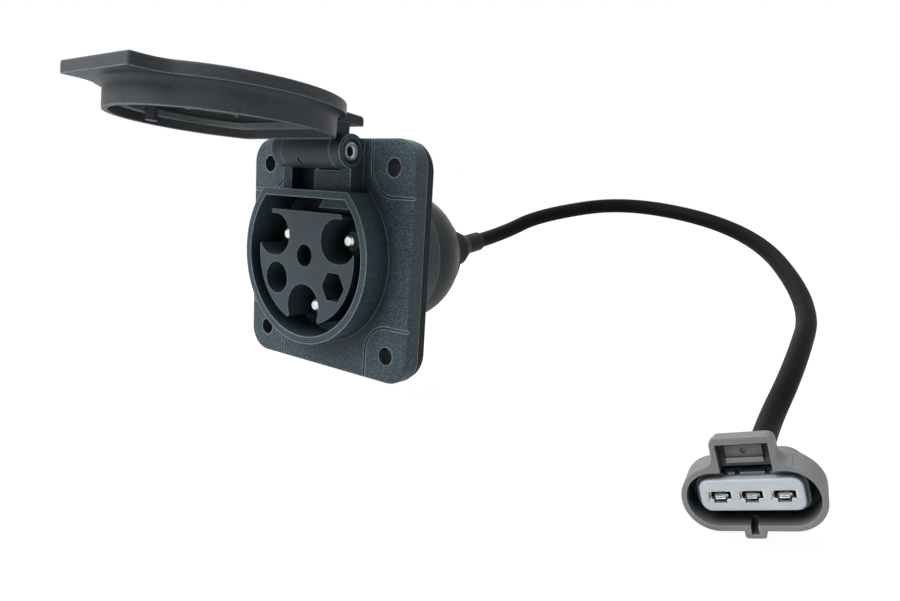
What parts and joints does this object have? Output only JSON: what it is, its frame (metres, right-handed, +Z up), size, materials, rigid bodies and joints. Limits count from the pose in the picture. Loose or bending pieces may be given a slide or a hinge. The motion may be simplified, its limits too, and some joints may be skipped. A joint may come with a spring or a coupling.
{
  "type": "charging port",
  "caption": "Square flanged charging socket with a hinged weather lid, domed rear cover and a short lead ending in a sealed connector.",
  "frame": {"origin": "centre of the flange on the panel face, which is the gasket's rear face", "axes": "+X to the right seen from the front, +Y into the panel, +Z up"},
  "size_m": [0.2293, 0.286, 0.1196],
  "materials": {
    "housing": "moulded, lightly textured",
    "gasket": "matt",
    "carrier": "smooth moulded",
    "pin_metal": "silvered, polished",
    "lid": "moulded, semi-gloss",
    "pale_seal": "matt",
    "spring_steel": "drawn",
    "cap": "semi-gloss",
    "jacket": "glossy",
    "core_brown": "satin",
    "core_blue": "satin",
    "core_green": "satin",
    "connector_grey": "moulded",
    "connector_pale": "moulded",
    "terminal_tin": "tinned"
  },
  "bodies": {
    "socket": {"flange_housing": "housing", "flange_gasket": "gasket", "contact_carrier": "carrier", "carrier_ring": "housing", "power_pin_left": "pin_metal", "power_pin_right": "pin_metal", "power_pin_bottom": "pin_metal", "hinge_pin": "spring_steel", "hinge_spring": "spring_steel", "rear_cap": "cap", "cap_seal": "gasket", "strain_relief": "gasket", "cable": "jacket", "cable_entry": "jacket", "crimp_ring": "spring_steel", "wire_left": "core_brown", "wire_right": "core_blue", "wire_bottom": "core_green", "connector_boot": "gasket", "connector_shell": "connector_grey", "connector_holder": "connector_pale", "terminal_left": "terminal_tin", "terminal_centre": "terminal_tin", "terminal_right": "terminal_tin", "connector_seal": "gasket"},
    "cover": {"lid": "lid", "lid_seal": "pale_seal"}
  },
  "joints": [
    {"name": "lid_hinge", "type": "hinge", "parent": "socket", "child": "cover", "pos_m": [0, -0.0162, 0.04], "axis": [1, 0, 0], "range_deg": [-20, 93]}
  ]
}
